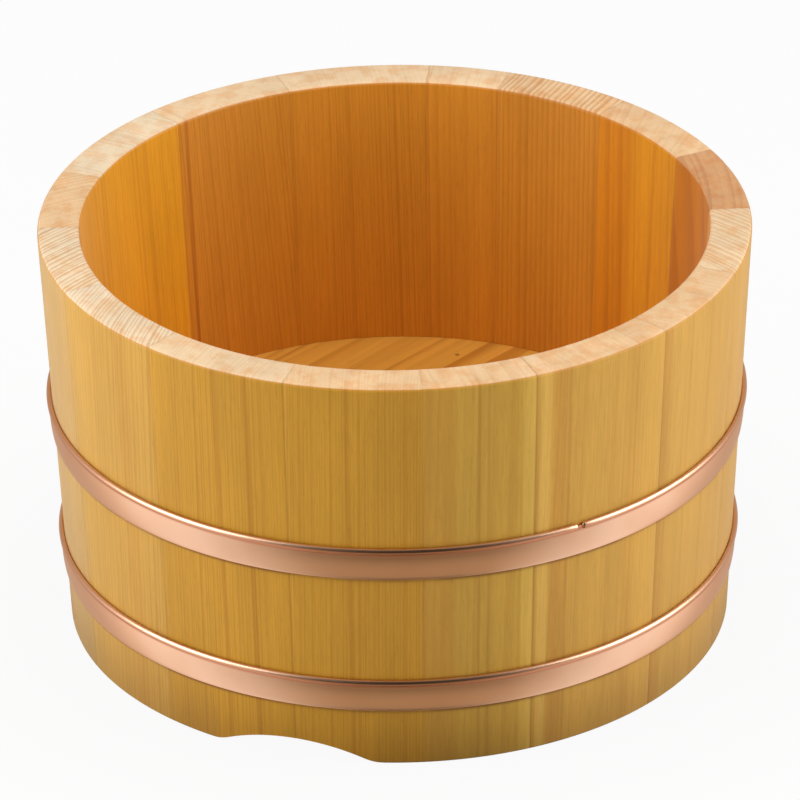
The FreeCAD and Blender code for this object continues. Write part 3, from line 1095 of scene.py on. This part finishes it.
@dataclass
class StavedWall:
    """The sixteen staves, each with its own cut and tint."""

    taper: Taper
    groove: Groove
    hoop_edges: tuple[tuple[float, float], ...]
    planks: tuple[Plank, ...] = PLANKS
    first_joint: float = 93.0
    rim_round: float = 0.0014
    foot_round: float = 0.0008
    joint_ease: float = 0.00006
    ring_step: float = 1.2
    arch_count: int = 3
    arch_bearing: float = -18.5
    arch_width: float = 0.061
    arch_height: float = 0.0068
    arch_flare: float = 0.020
    arch_drop: float = 0.00001
    arch_step: float = 2.5
    overrun: float = 0.005
    seed_step: float = 1.7

    def joints(self) -> list[float]:
        """Place the joints by the planks' widths.

        Returns:
            Bearing of each joint, once round, beginning and ending at the first.
        """
        total = sum(plank.width for plank in self.planks)
        bearings = [self.first_joint]
        for plank in self.planks:
            bearings.append(bearings[-1] + FULL_TURN * plank.width / total)
        return bearings

    def model_section(self) -> Piece:
        """Model the upright section that all staves share.

        Returns:
            The section, at bearing zero.
        """
        taper, groove = self.taper, self.groove
        middle = Vector((0, taper.wall / 2 - taper.foot_radius, taper.height / 2))
        section = add_plate("stave_section", middle, taper.height, taper.wall)
        deep = groove.radius(taper)
        with Shaper(section) as shaper:
            shaper.points(lambda point: point.z > middle.z)
            shaper.shift((0, taper.foot_radius - taper.rim_radius, 0))
            shaper.split_level(groove.bottom)
            shaper.split_level(groove.top)
            shaper.everything()
            bpy.ops.mesh.bisect(plane_co=(0, -deep, 0), plane_no=(0, 1, 0))
            shaper.faces(lambda at, _: groove.bottom < at.z < groove.top and -at.y < deep)
            bpy.ops.mesh.delete(type="FACE")
            shaper.everything()
            bpy.ops.mesh.dissolve_limited(angle_limit=math.radians(0.1))
            shaper.points(lambda point: point.z > taper.height - MERGE_DISTANCE)
            shaper.bevel(self.rim_round, segments=6, affect="VERTICES")
            outermost = taper.foot_radius - MERGE_DISTANCE
            shaper.points(lambda point: point.z < MERGE_DISTANCE and -point.y > outermost)
            shaper.bevel(self.foot_round, segments=3, affect="VERTICES")
        return section

    def model_arch(self) -> Piece:
        """Model the tool that saws an arch through the foot.

        Returns:
            The tool, at bearing zero.
        """
        half, height, flare = self.arch_width / 2, self.arch_height, self.arch_flare
        centres_apart = (half ** 2 + height ** 2) / (2 * height)
        crown = centres_apart - flare
        sweep = math.degrees(math.asin(half / centres_apart))
        near = -self.taper.foot_radius - self.overrun
        through = self.taper.wall + 3 * self.overrun
        along = Vector((0, 1, 0))
        start = (-half, near, 0)
        tool = add_primitive("arch_tool", bpy.ops.mesh.primitive_plane_add, size=flare, location=start)
        settle(tool)
        with Shaper(tool) as shaper:
            shaper.everything()
            bpy.ops.mesh.merge(type="CENTER")
            shaper.spin_on(-sweep, self.arch_step, Vector((-half, near, flare)), along)
            shaper.spin_on(2 * sweep, self.arch_step, Vector((0, near, height - crown)), along)
            shaper.spin_on(-sweep, self.arch_step, Vector((half, near, flare)), along)
            shaper.extrude((0, 0, -self.overrun))
            shaper.extrude((-self.arch_width, 0, 0))
            shaper.everything()
            bpy.ops.mesh.edge_face_add()
            shaper.everything()
            shaper.extrude((0, through, 0))
            shaper.everything()
            shaper.shift((0, 0, -self.arch_drop))
            shaper.close()
        return tool

    def model_stave(self, name: str, section: Piece, start: float, end: float) -> Piece:
        """Model one stave.

        Args:
            name: Name of the piece.
            section: The shared section.
            start: Bearing of its first joint.
            end: Bearing of its second joint.

        Returns:
            The stave, with its joint edges eased.
        """
        stave = copy_of(section, name, start)
        with Shaper(stave) as shaper:
            shaper.everything()
            shaper.spin_on(end - start, self.ring_step, ORIGIN, UP)
            shaper.close()
            tiny = 0.01

            def at_joint(first: Vector, second: Vector) -> bool:
                """Whether an edge lies in one of the joints."""
                return any(
                    apart(bearing_of(first), joint) < tiny and apart(bearing_of(second), joint) < tiny
                    for joint in (start, end)
                )

            shaper.edges(at_joint)
            shaper.bevel(self.joint_ease, segments=2, affect="EDGES")
        return stave

    def build(self, effects: Effects) -> None:
        """Model, saw and dress every stave.

        Args:
            effects: The shared node groups.
        """
        section = self.model_section()
        arch = self.model_arch()
        between = FULL_TURN / self.arch_count
        bearings = [self.arch_bearing + between * index for index in range(self.arch_count)]
        reach = math.degrees(math.asin(self.arch_width / 2 / self.taper.inner(0)))
        joints = self.joints()
        for number, (plank, start, end) in enumerate(zip(self.planks, joints[:-1], joints[1:]), start=1):
            stave = self.model_stave(f"wall_stave_{number:02d}", section, start, end)
            middle, half_sweep = (start + end) / 2, (end - start) / 2
            for bearing in bearings:
                if apart(middle, bearing) < half_sweep + reach:
                    combine(stave, copy_of(arch, "arch_cut", bearing), "DIFFERENCE")
            smooth(stave, SMOOTH_ANGLE)
            finish = WoodFinish(
                name=f"stave_wood_{number:02d}",
                grain=plank.grain,
                seed=number * self.seed_step,
                frame_turn=Matrix.Rotation(math.radians(-middle), 3, "Z"),
                middle=Vector((0, self.taper.wall / 2 - self.taper.rim_radius, 0)),
                end_axis=UP,
                half_sweep=half_sweep,
                joint_strength=plank.joint_strength,
                hoop_edges=self.hoop_edges,
            )
            present(stave, finish.build(effects), "stave_wood", f"stave_{number:02d}")
        discard(section)
        discard(arch)


@dataclass
class Base:
    """The three boards of the base, with a tongue that sits in the groove."""

    taper: Taper
    groove: Groove
    thickness: float = 0.016
    bevel: float = 0.005
    run: float = 41.0
    joint_places: tuple[float, float] = (-0.022, 0.034)
    joint_ease: float = 0.00015
    sides: int = 192
    wood_edges: tuple[float, float] = (-0.07, 0.08)
    pith_distance: float = 0.045
    first_seed: float = 41.0
    seed_step: float = 2.9
    knot_place: tuple[float, float] = (0.0199, 0.0811)

    def model_disc(self) -> Piece:
        """Model the whole base before it is sawn into boards.

        Returns:
            The disc.
        """
        groove = self.groove
        edge = groove.radius(self.taper) - groove.clearance
        tongue_bottom = groove.floor_height - groove.tongue
        underside = groove.floor_height - self.thickness
        shoulder = self.taper.inner(tongue_bottom) - groove.clearance
        bevel_edge = self.taper.inner(underside) - self.bevel
        disc = add_primitive(
            "base_disc", bpy.ops.mesh.primitive_cylinder_add, vertices=self.sides, radius=edge,
            depth=groove.tongue, location=(0, 0, tongue_bottom + groove.tongue / 2),
        )
        settle(disc)
        with Shaper(disc) as shaper:
            shaper.faces(lambda _, normal: normal.z < -FACING)
            bpy.ops.mesh.inset(thickness=edge - shoulder)
            shaper.extrude((0, 0, underside - tongue_bottom))
            shrink = bevel_edge / shoulder
            bpy.ops.transform.resize(value=(shrink, shrink, 1), center_override=(0, 0, underside))
        return disc

    def build(self, effects: Effects, grain: Grain) -> None:
        """Saw the disc into boards and dress them.

        Args:
            effects: The shared node groups.
            grain: How the boards were sawn.
        """
        disc = self.model_disc()
        turn = math.radians(self.run)
        across = Vector((math.cos(turn), -math.sin(turn), 0))
        along = Vector((math.sin(turn), math.cos(turn), 0))
        first, second = self.joint_places
        left_edge, right_edge = self.wood_edges
        top = self.groove.floor_height
        sides = {"left": (None, first), "middle": (first, second), "right": (second, None)}
        for index, (side, (low, high)) in enumerate(sides.items()):
            board = copy_of(disc, f"floor_board_{side}")
            with Shaper(board) as shaper:
                for limit, lower in ((low, True), (high, False)):
                    if limit is not None:
                        shaper.everything()
                        bpy.ops.mesh.bisect(
                            plane_co=across * limit, plane_no=across, use_fill=True,
                            clear_inner=lower, clear_outer=not lower,
                        )
                shaper.close()

                def at_joint(one: Vector, other: Vector) -> bool:
                    """Whether an edge lies in a joint, at the top."""
                    high_up = min(one.z, other.z) > top - MERGE_DISTANCE
                    return high_up and any(
                        max(abs(end.dot(across) - limit) for end in (one, other)) < 2 * MERGE_DISTANCE
                        for limit in (low, high) if limit is not None
                    )

                shaper.edges(at_joint)
                shaper.bevel(self.joint_ease, segments=2, affect="EDGES")
            smooth(board, SMOOTH_ANGLE)
            finish = WoodFinish(
                name=f"base_wood_{side}",
                grain=grain,
                seed=self.first_seed + index * self.seed_step,
                frame_turn=Matrix.Rotation(math.radians(90), 3, "X") @ Matrix.Rotation(turn, 3, "Z"),
                middle=Vector(((low or left_edge) / 2 + (high or right_edge) / 2, top, 0)),
                end_axis=along,
                knot=Vector((*self.knot_place, top)),
                pith_distance=self.pith_distance,
            )
            present(board, finish.build(effects), "base_wood", f"base_board_{side}")
        discard(disc)


@dataclass
class Hoop:
    """A copper strip with a bead rolled along its upper edge, whose ends leave a small gap."""

    taper: Taper
    name: str
    node: str
    bottom: float
    seam: float
    width: float = 0.0112
    thickness: float = 0.0008
    crown: float = 0.00035
    bead_height: float = 0.0022
    bead_reach: float = 0.0009
    lip_drop: float = 0.0009
    clearance: float = 0.00005
    seam_gap: float = 0.0014
    dome: float = 0.0009
    edge_round: float = 0.00025
    ring_step: float = 1.5
    crown_rows: int = 8
    bead_sides: int = 24
    dome_rounds: int = 4
    dome_sweep: float = 85.0
    smooth_angle: float = 40.0

    def stand(self, z: float, off: float) -> Vector:
        """Point at bearing zero that stands off the wood at a height."""
        return Vector((0, -self.taper.outer(z) - self.clearance - off, z))

    def crease(self) -> float:
        """Height of the crease under the bead."""
        return self.bottom + self.width - self.bead_height

    def model_strip(self) -> Piece:
        """Model the crowned strip.

        Returns:
            The strip, a closed ring.
        """
        top = self.bottom + self.width - self.lip_drop
        height = top - self.bottom
        middle = self.stand(self.bottom, self.thickness / 2)
        strip = add_plate(self.name, Vector((0, middle.y, self.bottom + height / 2)), height, self.thickness)
        face_height = self.crease() - self.bottom
        rows = self.crown_rows
        with Shaper(strip) as shaper:
            shaper.points(lambda point: point.z > middle.z + height / 2)
            shaper.shift((0, self.stand(top, 0).y - self.stand(self.bottom, 0).y, 0))
            levels = [self.bottom + face_height * row / rows for row in range(1, rows + 1)]
            for level in levels:
                shaper.split_level(level)
            shaper.everything()
            bpy.ops.mesh.dissolve_faces()
            for level in levels:
                part = 2 * (level - self.bottom) / face_height - 1
                out = self.crown * (1 - part ** 2)
                skin = self.stand(level, self.thickness / 2).y
                shaper.points(lambda point: abs(point.z - level) < MERGE_DISTANCE and point.y < skin)
                shaper.shift((0, -out, 0))
            shaper.points(lambda point: point.z < self.bottom + MERGE_DISTANCE and point.y < middle.y)
            shaper.bevel(self.edge_round, segments=3, affect="VERTICES")
            shaper.everything()
            bpy.ops.mesh.delete(type="ONLY_FACE")
            shaper.everything()
            shaper.spin_on(FULL_TURN, self.ring_step, ORIGIN, UP)
            shaper.close()
        return strip

    def model_bead(self) -> Piece:
        """Model the bead, a half-round rod with domed ends on both sides of the gap.

        Returns:
            The bead.
        """
        level = self.crease() + self.bead_height / 2
        root = self.stand(level, self.thickness)
        half_gap = math.degrees((self.seam_gap / 2 + self.dome) / -root.y)
        bead = add_primitive(
            self.name + "_bead", bpy.ops.mesh.primitive_circle_add, vertices=self.bead_sides, radius=1,
            fill_type="NGON", location=root, rotation=(0, math.pi / 2, 0),
        )
        bead.scale = (self.bead_height / 2, self.bead_reach, 1)
        settle(bead)
        with Shaper(bead) as shaper:
            shaper.everything()
            inside = root + Vector((0, self.thickness / 2, 0))
            bpy.ops.mesh.bisect(plane_co=inside, plane_no=(0, 1, 0), clear_outer=True)
        bead.rotation_euler.z = math.radians(self.seam + half_gap)
        settle(bead)
        with Shaper(bead) as shaper:
            shaper.everything()
            shaper.spin_on(FULL_TURN - 2 * half_gap, self.ring_step, ORIGIN, UP)
            shaper.close()
            for side in (1, -1):
                self.dome_end(shaper, self.seam + side * half_gap, side, root)
            shaper.close()
        return bead

    def dome_end(self, shaper: Shaper, bearing: float, side: int, root: Vector) -> None:
        """Round off one end of the bead.

        Args:
            shaper: Edit mode on the bead.
            bearing: Where the straight part ends.
            side: 1 at the gap's right, -1 at its left.
            root: Middle of the bead's back at bearing zero.
        """
        turn = Matrix.Rotation(math.radians(bearing), 3, "Z")
        pivot = turn @ root
        towards = turn @ Vector((-side, 0, 0))
        shaper.faces(lambda at, normal: (at - pivot).length < self.bead_height and normal.dot(towards) > FACING)
        part = self.dome_sweep / self.dome_rounds
        angles = [math.radians(part * step) for step in range(self.dome_rounds + 1)]
        for before, after in zip(angles[:-1], angles[1:]):
            move = towards * self.dome * (math.sin(after) - math.sin(before))
            pivot = pivot + move
            shaper.extrude(move)
            shrink = math.cos(after) / math.cos(before)
            bpy.ops.transform.resize(value=(shrink, shrink, shrink), center_override=pivot)

    def build(self, finish: Material) -> None:
        """Join strip and bead into one solid and dress it.

        Args:
            finish: The copper.
        """
        strip = self.model_strip()
        combine(strip, self.model_bead(), "UNION")
        smooth(strip, self.smooth_angle)
        present(strip, finish, "copper", self.node)


@dataclass
class Pegs:
    """The bamboo pegs hidden in the joints, which keep the frame's own solids."""

    nodes: tuple[str, ...] = ("stave_pegs", "base_pegs")

    def build(self, finish: Material) -> None:
        """Dress the pegs."""
        for node in self.nodes:
            present(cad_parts[node], finish, "bamboo")


# The stage


@dataclass
class Softbox:
    """A lamp with a broad face, aimed at the tub."""

    name: str
    bearing: float
    distance: float
    height: float
    size: tuple[float, float]
    power: float
    mirrored: bool = True

    def build(self, aim: Vector) -> None:
        """Add the lamp.

        Args:
            aim: What it shines at.
        """
        turn = math.radians(self.bearing)
        place = Vector((math.sin(turn) * self.distance, -math.cos(turn) * self.distance, self.height))
        data = bpy.data.lights.new(self.name, "AREA")
        data.shape = "RECTANGLE"
        data.size, data.size_y = self.size
        data.energy = self.power
        lamp = bpy.data.objects.new(self.name, data)
        bpy.context.collection.objects.link(lamp)
        lamp.location = place
        lamp.rotation_euler = (aim - place).to_track_quat("-Z", "Y").to_euler()
        lamp.visible_camera = False
        lamp.visible_glossy = self.mirrored


@dataclass
class Studio:
    """The pale table, the lamps, the white surroundings and the camera."""

    lamps: tuple[Softbox, ...] = (
        Softbox("left_softbox", bearing=-72.0, distance=1.30, height=0.60, size=(1.0, 1.20), power=14.5),
        Softbox("right_softbox", bearing=82.0, distance=1.30, height=0.60, size=(1.0, 1.20), power=14.5),
        Softbox("top_fill", 0.0, distance=0.35, height=1.9, size=(1.4, 1.4), power=17.0, mirrored=False),
    )
    table_size: float = 9.0
    table_colour: Colour = (222, 222, 222)
    table_glow: float = 0.94
    foot_shade: tuple[float, float, float] = (0.10, 0.19, 0.4)
    ambient: float = 0.12
    sky_in_metal: tuple[float, float] = (0.5, 0.0)
    floor_in_metal: tuple[float, float] = (0.85, 0.58)
    floor_beside: float = 0.27
    floor_in_front: tuple[float, float] = (0.48, 0.06)
    floor_at_foot: float = 0.05
    warm_in_front: tuple[float, float, float, float] = (1.0, 0.75, 0.46, 1.0)
    warm_behind: tuple[float, float, float, float] = (1.0, 0.79, 0.62, 1.0)
    front_bearing: float = 3.0
    # Bands of the room that the copper mirrors, along the level and the height of a direction of length one
    front_band: tuple[float, float] = (0.42, 1.0)
    beside_band: tuple[float, float] = (0.86, 1.0)
    behind_band: tuple[float, float] = (0.1, 0.7)
    foot_band: tuple[float, float] = (-0.87, -0.79)
    ahead_band: tuple[float, float] = (-0.54, -0.24)
    horizon_band: tuple[float, float] = (-0.12, 0.04)
    sky_band: tuple[float, float] = (0.0, 0.9)
    warm_front_band: tuple[float, float] = (-0.4, -0.95)
    warm_back_band: tuple[float, float] = (0.0, 0.5)
    lamp_aim: Vector = Vector((0, 0, 0.07))
    camera_aim: Vector = Vector((0.0010044, 0.0299815, 0.0558531))
    camera_distance: float = 2.856257
    camera_elevation: float = 28.2265
    camera_roll: float = 0.70556
    camera_lens: float = 399.49
    camera_sensor: float = 36.0
    camera_reach: float = 50.0

    def build_table(self) -> None:
        """Lay the pale table top, which shows almost white and keeps a soft shadow."""
        table = add_primitive(
            "table_top", bpy.ops.mesh.primitive_plane_add, size=self.table_size, location=ORIGIN
        )
        material, graph = start_material("table_paper")
        place = graph.add("NewGeometry").outputs["Position"]
        near, far, least = self.foot_shade
        shade = graph.ramp(graph.measure("LENGTH", place), near, far, least, 1.0)
        paper = graph.add("BsdfDiffuse", {"Color": graph.scaled(linear(self.table_colour)[:3], shade)})
        glow = graph.add("Emission", {"Color": WHITE, "Strength": 1.0})
        factor = graph.math("MULTIPLY", graph.to_camera(), self.table_glow)
        mixed = graph.add("MixShader", {0: factor, 1: paper.outputs[0], 2: glow.outputs[0]})
        graph.add("OutputMaterial", {"Surface": mixed.outputs[0]})
        table.data.materials.append(material)
        table.visible_glossy = False

    def build_world(self) -> None:
        """Surround the scene.

        It is white to the camera, dim to what lights the tub, and to the copper a room that is dark in front.
        """
        world = bpy.data.worlds.new("surroundings")
        bpy.context.scene.world = world
        world.use_nodes = True
        world.node_tree.nodes.clear()
        graph = Graph(world.node_tree)
        path = graph.add("LightPath").outputs
        turn = (0.0, 0.0, -math.radians(self.front_bearing))
        outward = graph.add("TexCoord").outputs["Generated"]
        direction = graph.add("Mapping", {"Vector": outward, "Rotation": turn})
        flat = graph.vector("NORMALIZE", graph.stretched(direction.outputs[0], 0.0))
        aside, level = graph.parts(flat)[:2]
        height = graph.parts(direction.outputs[0])[2]
        front = graph.ramp(graph.math("MULTIPLY", level, -1.0), *self.front_band)
        glare = graph.ramp(graph.math("ABSOLUTE", aside), *self.beside_band, 0.0, self.floor_beside)
        near_by = graph.math("ADD", graph.ramp(level, *self.behind_band, *self.floor_in_metal), glare)
        below = graph.ramp(height, *self.foot_band, self.floor_at_foot, 1.0)
        ahead = graph.math("MULTIPLY", graph.ramp(height, *self.ahead_band, *self.floor_in_front), below)
        floor = graph.ramp(front, 0.0, 1.0, near_by, ahead)
        sky = graph.ramp(front, *self.sky_band, *self.sky_in_metal)
        seen = graph.ramp(height, *self.horizon_band, floor, sky)
        mirrored = graph.math("MULTIPLY", path["Is Glossy Ray"], seen)
        plain = graph.math("MULTIPLY", path["Is Diffuse Ray"], self.ambient)
        strength = graph.math("ADD", graph.math("ADD", mirrored, plain), graph.to_camera())
        warm = graph.blend(graph.ramp(level, *self.warm_front_band), WHITE, self.warm_in_front)
        warm = graph.blend(graph.ramp(level, *self.warm_back_band), warm, self.warm_behind)
        tone = graph.blend(path["Is Glossy Ray"], WHITE, warm)
        light = graph.add("Background", {"Color": tone, "Strength": strength})
        graph.add("OutputWorld", {"Surface": light.outputs[0]})

    def build_camera(self) -> None:
        """Set the camera at the photograph's angle."""
        tilt = math.radians(90 - self.camera_elevation)
        turn = Matrix.Rotation(tilt, 3, "X") @ Matrix.Rotation(-math.radians(self.camera_roll), 3, "Z")
        data = bpy.data.cameras.new("camera")
        data.lens = self.camera_lens
        data.sensor_width = self.camera_sensor
        data.clip_end = self.camera_reach
        camera = bpy.data.objects.new("camera", data)
        bpy.context.collection.objects.link(camera)
        camera.location = self.camera_aim + turn @ Vector((0, 0, self.camera_distance))
        camera.rotation_euler = turn.to_euler()
        bpy.context.scene.camera = camera

    def build(self) -> None:
        """Build the whole stage."""
        self.build_table()
        for lamp in self.lamps:
            lamp.build(self.lamp_aim)
        self.build_world()
        self.build_camera()


def main() -> None:
    """Build the tub and its stage, in order."""
    logging.basicConfig(level=logging.INFO, format="%(message)s")
    bpy.context.scene.view_settings.view_transform = "Standard"
    taper, groove, effects = Taper(), Groove(), Effects()
    hoops = (
        Hoop(taper, "upper_hoop_band", "upper_hoop", bottom=0.068, seam=30.5),
        Hoop(taper, "lower_hoop_band", "lower_hoop", bottom=0.020, seam=205.0),
    )
    hoop_edges = tuple((hoop.bottom, hoop.bottom + hoop.width) for hoop in hoops)
    StavedWall(taper, groove, hoop_edges).build(effects)
    board = Grain(
        Cut.RIFT, SideTone.FLOOR, end=EndTone.PEACH, spacing=0.0030, contrast=0.9, lean=0.02, warp=0.003,
    )
    Base(taper, groove).build(effects, board)
    copper = CopperFinish("satin_copper", tuple(hoop.crease() for hoop in hoops)).build()
    for hoop in hoops:
        hoop.build(copper)
    Pegs().build(BambooFinish().build())
    Studio().build()


if __name__ == "__main__":
    main()
